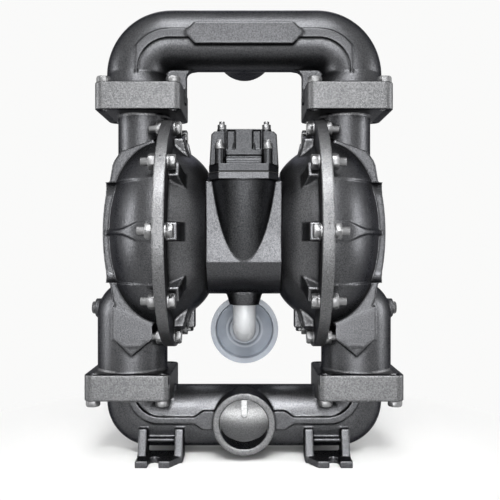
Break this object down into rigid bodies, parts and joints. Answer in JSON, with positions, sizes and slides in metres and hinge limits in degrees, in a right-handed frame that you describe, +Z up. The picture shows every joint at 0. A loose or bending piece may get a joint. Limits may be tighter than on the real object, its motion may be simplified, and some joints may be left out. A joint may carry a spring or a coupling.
{
  "type": "air operated diaphragm pump",
  "caption": "Air operated double diaphragm pump with round clamped chambers, tubular suction and discharge manifolds, top air valve, exhaust muffler and slotted feet.",
  "frame": {"origin": "centre of the bounding box on the floor that the feet stand on", "axes": "+Z up, the diaphragm shaft along X, the suction port faces -Y and the discharge port +Y"},
  "size_m": [0.3992, 0.294, 0.575],
  "materials": {
    "casting": "satin black coated cast aluminium",
    "zinc": "zinc plated steel",
    "stainless": "turned stainless steel",
    "plastic": "moulded light grey plastic",
    "black_plastic": "black moulded plastic",
    "rubber": "black nitrile rubber",
    "bronze": "sintered bronze"
  },
  "bodies": {
    "pump_frame": {"air_valve_body": "casting", "air_valve_bolts": "zinc", "air_valve_sleeve": "stainless", "center_body": "casting", "discharge_manifold": "casting", "discharge_manifold_bolts": "zinc", "exhaust_elbow": "plastic", "front_valve_cap": "casting", "left_air_chamber": "casting", "left_clamp_bolts": "zinc", "left_clamp_nuts": "zinc", "left_clamp_washers": "zinc", "left_discharge_seat": "stainless", "left_discharge_seat_seal": "rubber", "left_drain_plug": "black_plastic", "left_fluid_chamber": "casting", "left_shaft_bushing": "bronze", "left_shaft_seal": "rubber", "left_suction_seat": "stainless", "left_suction_seat_seal": "rubber", "lug_bolts": "zinc", "muffler_body": "plastic", "pilot_sleeve": "stainless", "rear_valve_cap": "casting", "right_air_chamber": "casting", "right_clamp_bolts": "zinc", "right_clamp_nuts": "zinc", "right_clamp_washers": "zinc", "right_discharge_seat": "stainless", "right_discharge_seat_seal": "rubber", "right_drain_plug": "black_plastic", "right_fluid_chamber": "casting", "right_shaft_bushing": "bronze", "right_shaft_seal": "rubber", "right_suction_seat": "stainless", "right_suction_seat_seal": "rubber", "suction_manifold": "casting", "suction_manifold_bolts": "zinc", "valve_gasket": "rubber"},
    "shaft_assembly": {"diaphragm_shaft": "stainless", "left_inner_plate": "casting", "left_outer_plate": "casting", "left_plate_bolt": "zinc", "left_diaphragm": "rubber", "right_inner_plate": "casting", "right_outer_plate": "casting", "right_plate_bolt": "zinc", "right_diaphragm": "rubber"},
    "air_valve_spool_body": {"air_valve_spool": "stainless"},
    "pilot_spool_body": {"pilot_spool": "stainless"},
    "left_suction_ball_body": {"left_suction_ball": "rubber"},
    "left_discharge_ball_body": {"left_discharge_ball": "rubber"},
    "right_suction_ball_body": {"right_suction_ball": "rubber"},
    "right_discharge_ball_body": {"right_discharge_ball": "rubber"}
  },
  "joints": [
    {"name": "diaphragm_stroke", "type": "slide", "parent": "pump_frame", "child": "shaft_assembly", "axis": [1, 0, 0], "range_m": [-0.02, 0.02], "deforming": ["left_diaphragm", "right_diaphragm"]},
    {"name": "pilot_shift", "type": "slide", "parent": "pump_frame", "child": "pilot_spool_body", "axis": [1, 0, 0], "range_m": [-0.005, 0.005]},
    {"name": "air_valve_shift", "type": "slide", "parent": "pump_frame", "child": "air_valve_spool_body", "axis": [0, 1, 0], "range_m": [-0.01, 0.01]},
    {"name": "left_suction_ball_lift", "type": "slide", "parent": "pump_frame", "child": "left_suction_ball_body", "axis": [0, 0, 1], "range_m": [0, 0.018]},
    {"name": "left_discharge_ball_lift", "type": "slide", "parent": "pump_frame", "child": "left_discharge_ball_body", "axis": [0, 0, 1], "range_m": [0, 0.015]},
    {"name": "right_suction_ball_lift", "type": "slide", "parent": "pump_frame", "child": "right_suction_ball_body", "axis": [0, 0, 1], "range_m": [0, 0.018]},
    {"name": "right_discharge_ball_lift", "type": "slide", "parent": "pump_frame", "child": "right_discharge_ball_body", "axis": [0, 0, 1], "range_m": [0, 0.015]}
  ],
  "couplings": [
    {"joint": "pilot_shift", "follows": "diaphragm_stroke", "ratio": 0.25}
  ]
}
